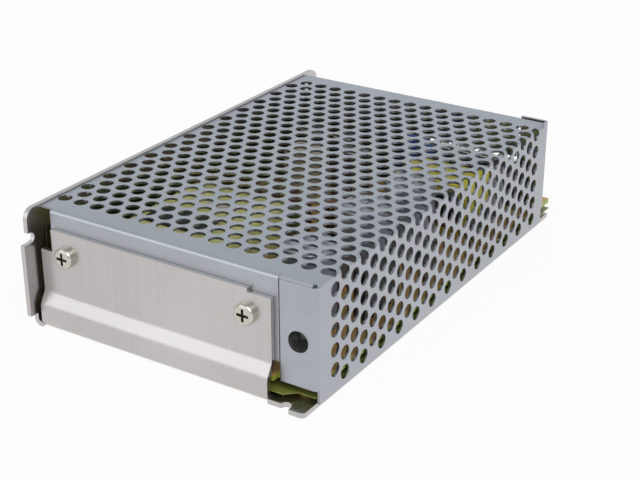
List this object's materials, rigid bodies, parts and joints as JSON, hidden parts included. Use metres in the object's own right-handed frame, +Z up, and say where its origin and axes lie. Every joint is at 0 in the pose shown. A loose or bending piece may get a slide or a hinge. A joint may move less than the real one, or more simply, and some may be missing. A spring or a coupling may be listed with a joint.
{
  "type": "enclosed switching power supply",
  "caption": "Switching power supply in a folded chassis with a perforated cover, an end plate and a row of screw terminals.",
  "frame": {"origin": "middle of the base's underside, on the surface that the case stands on", "axes": "+Z up; +Y along the case towards the terminals; +X towards the perforated long side"},
  "size_m": [0.098, 0.159, 0.038],
  "materials": {
    "folded_aluminium": "satin, lightly rolled",
    "zinc_plated_sheet": "satin zinc plating",
    "nickel_screw": "nickel plated",
    "nickel_clamp": "nickel plated",
    "black_nylon": "glossy black moulding",
    "insulating_film": "translucent film",
    "turned_brass": "turned",
    "board_laminate": "bare laminate",
    "terminal_moulding": "moulded",
    "tinned_brass": "tin plated",
    "trimmer_blue": "moulded",
    "white_moulding": "moulded",
    "lamp_lens": "clear tinted lens",
    "fuse_glass": "clear tube with metal caps",
    "blue_coating": "dipped coating",
    "yellow_moulding": "moulded box",
    "ferrite": "fired, dull",
    "copper_wire": "enamelled copper wire",
    "black_moulding": "moulded",
    "dark_coating": "dipped coating",
    "can_sleeve": "shrunk sleeve on an aluminium can",
    "brown_sleeve": "shrunk sleeve on an aluminium can",
    "yellow_tape": "wrapped tape",
    "plain_aluminium": "cut bar",
    "grey_pad": "silicone pad",
    "spring_steel": "plain",
    "powder_core": "painted ring",
    "cream_ceramic": "fired ceramic",
    "red_moulding": "moulded"
  },
  "bodies": {
    "case": {"board_feet": "turned_brass", "board_screws": "nickel_screw", "bridge_rectifier": "black_moulding", "bulk_capacitor_1": "can_sleeve", "bulk_capacitor_2": "can_sleeve", "bulk_capacitor_3": "can_sleeve", "case_screws": "nickel_screw", "cement_resistor": "cream_ceramic", "chassis": "folded_aluminium", "circuit_board": "board_laminate", "clamp_bars": "spring_steel", "clamp_screws": "nickel_screw", "control_chip": "black_moulding", "film_capacitor": "red_moulding", "filter_choke_core": "ferrite", "filter_choke_seat": "black_moulding", "filter_choke_winding": "copper_wire", "fuse": "fuse_glass", "fuse_clips": "tinned_brass", "guard_capacitors": "blue_coating", "heat_spreader": "plain_aluminium", "insulating_pads": "grey_pad", "insulating_sheet": "insulating_film", "mesh_cover": "zinc_plated_sheet", "optocouplers": "white_moulding", "output_capacitor_1": "brown_sleeve", "output_capacitor_2": "brown_sleeve", "output_capacitor_3": "brown_sleeve", "output_choke_core": "powder_core", "output_choke_seat": "black_moulding", "output_choke_winding": "copper_wire", "power_devices": "black_moulding", "power_lamp": "lamp_lens", "snap_rivet": "black_nylon", "standby_capacitor": "can_sleeve", "terminal_block": "terminal_moulding", "terminal_contacts": "tinned_brass", "thermistor": "dark_coating", "transformer_bobbin": "black_moulding", "transformer_core": "ferrite", "transformer_winding": "yellow_tape", "trimmer_body": "trimmer_blue", "varistor": "blue_coating", "x_capacitor": "yellow_moulding"},
    "clamp_1": {"terminal_clamp_1": "nickel_clamp"},
    "screw_1": {"terminal_screw_1": "nickel_screw"},
    "clamp_2": {"terminal_clamp_2": "nickel_clamp"},
    "screw_2": {"terminal_screw_2": "nickel_screw"},
    "clamp_3": {"terminal_clamp_3": "nickel_clamp"},
    "screw_3": {"terminal_screw_3": "nickel_screw"},
    "clamp_4": {"terminal_clamp_4": "nickel_clamp"},
    "screw_4": {"terminal_screw_4": "nickel_screw"},
    "clamp_5": {"terminal_clamp_5": "nickel_clamp"},
    "screw_5": {"terminal_screw_5": "nickel_screw"},
    "clamp_6": {"terminal_clamp_6": "nickel_clamp"},
    "screw_6": {"terminal_screw_6": "nickel_screw"},
    "clamp_7": {"terminal_clamp_7": "nickel_clamp"},
    "screw_7": {"terminal_screw_7": "nickel_screw"},
    "rotor": {"trimmer_rotor": "white_moulding"}
  },
  "joints": [
    {"name": "clamp_lift_1", "type": "slide", "parent": "case", "child": "clamp_1", "axis": [0, 1, 0], "range_m": [0, 0.003]},
    {"name": "screw_turn_1", "type": "hinge", "parent": "clamp_1", "child": "screw_1", "pos_m": [-0.01158, 0.07375, 0.0142], "axis": [0, -1, 0], "range_deg": [0, 1800.01]},
    {"name": "clamp_lift_2", "type": "slide", "parent": "case", "child": "clamp_2", "axis": [0, 1, 0], "range_m": [0, 0.003]},
    {"name": "screw_turn_2", "type": "hinge", "parent": "clamp_2", "child": "screw_2", "pos_m": [-0.00396, 0.07375, 0.0142], "axis": [0, -1, 0], "range_deg": [0, 1800.01]},
    {"name": "clamp_lift_3", "type": "slide", "parent": "case", "child": "clamp_3", "axis": [0, 1, 0], "range_m": [0, 0.003]},
    {"name": "screw_turn_3", "type": "hinge", "parent": "clamp_3", "child": "screw_3", "pos_m": [0.00366, 0.07375, 0.0142], "axis": [0, -1, 0], "range_deg": [0, 1800.01]},
    {"name": "clamp_lift_4", "type": "slide", "parent": "case", "child": "clamp_4", "axis": [0, 1, 0], "range_m": [0, 0.003]},
    {"name": "screw_turn_4", "type": "hinge", "parent": "clamp_4", "child": "screw_4", "pos_m": [0.01128, 0.07375, 0.0142], "axis": [0, -1, 0], "range_deg": [0, 1800.01]},
    {"name": "clamp_lift_5", "type": "slide", "parent": "case", "child": "clamp_5", "axis": [0, 1, 0], "range_m": [0, 0.003]},
    {"name": "screw_turn_5", "type": "hinge", "parent": "clamp_5", "child": "screw_5", "pos_m": [0.0189, 0.07375, 0.0142], "axis": [0, -1, 0], "range_deg": [0, 1800.01]},
    {"name": "clamp_lift_6", "type": "slide", "parent": "case", "child": "clamp_6", "axis": [0, 1, 0], "range_m": [0, 0.003]},
    {"name": "screw_turn_6", "type": "hinge", "parent": "clamp_6", "child": "screw_6", "pos_m": [0.02652, 0.07375, 0.0142], "axis": [0, -1, 0], "range_deg": [0, 1800.01]},
    {"name": "clamp_lift_7", "type": "slide", "parent": "case", "child": "clamp_7", "axis": [0, 1, 0], "range_m": [0, 0.003]},
    {"name": "screw_turn_7", "type": "hinge", "parent": "clamp_7", "child": "screw_7", "pos_m": [0.03414, 0.07375, 0.0142], "axis": [0, -1, 0], "range_deg": [0, 1800.01]},
    {"name": "trimmer_turn", "type": "hinge", "parent": "case", "child": "rotor", "pos_m": [-0.02204, 0.0736, 0.0112], "axis": [0, 0, 1], "range_deg": [-120, 120]}
  ],
  "couplings": [
    {"joint": "screw_turn_1", "follows": "clamp_lift_1", "rad_per_m": 10472},
    {"joint": "screw_turn_2", "follows": "clamp_lift_2", "rad_per_m": 10472},
    {"joint": "screw_turn_3", "follows": "clamp_lift_3", "rad_per_m": 10472},
    {"joint": "screw_turn_4", "follows": "clamp_lift_4", "rad_per_m": 10472},
    {"joint": "screw_turn_5", "follows": "clamp_lift_5", "rad_per_m": 10472},
    {"joint": "screw_turn_6", "follows": "clamp_lift_6", "rad_per_m": 10472},
    {"joint": "screw_turn_7", "follows": "clamp_lift_7", "rad_per_m": 10472}
  ]
}
